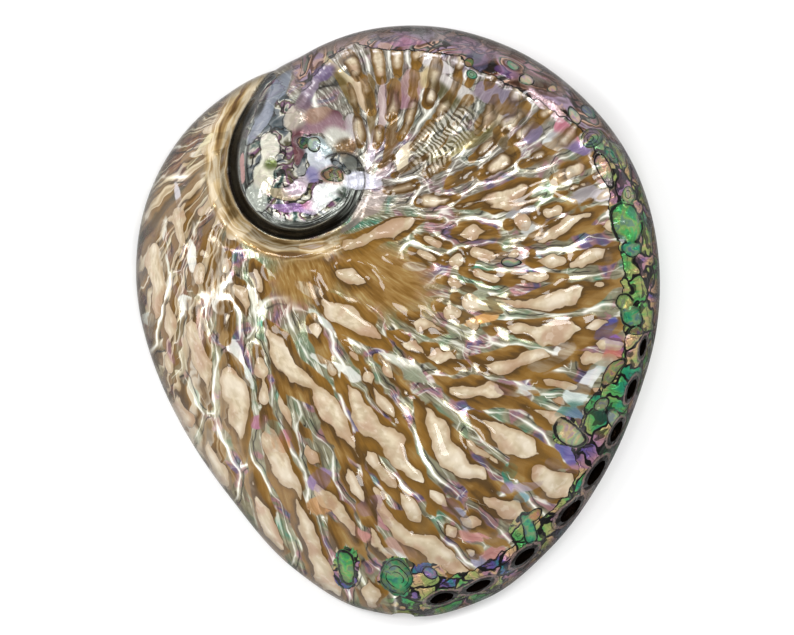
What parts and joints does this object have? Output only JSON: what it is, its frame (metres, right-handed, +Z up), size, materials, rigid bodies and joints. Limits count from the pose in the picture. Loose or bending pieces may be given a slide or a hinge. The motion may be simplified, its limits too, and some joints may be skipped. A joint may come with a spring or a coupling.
{
  "type": "abalone shell",
  "caption": "Polished abalone shell lying on its opening: low ear-shaped dome with a flat spire, wavy folds, a row of open breathing holes along one edge and a hollow pearly inside.",
  "frame": {"origin": "on the surface it rests on, under the middle of the footprint", "axes": "+Z up; +Y along the shell's length, towards the spire end; +X to the side of the open holes, seen from above with the spire at the far end"},
  "size_m": [0.1465, 0.1653, 0.0494],
  "materials": {
    "shell": "polished natural shell: brown and cream folds with silver, pink and green mother-of-pearl between them, under a clear gloss"
  },
  "bodies": {
    "root": {"shell": "shell"}
  },
  "joints": []
}
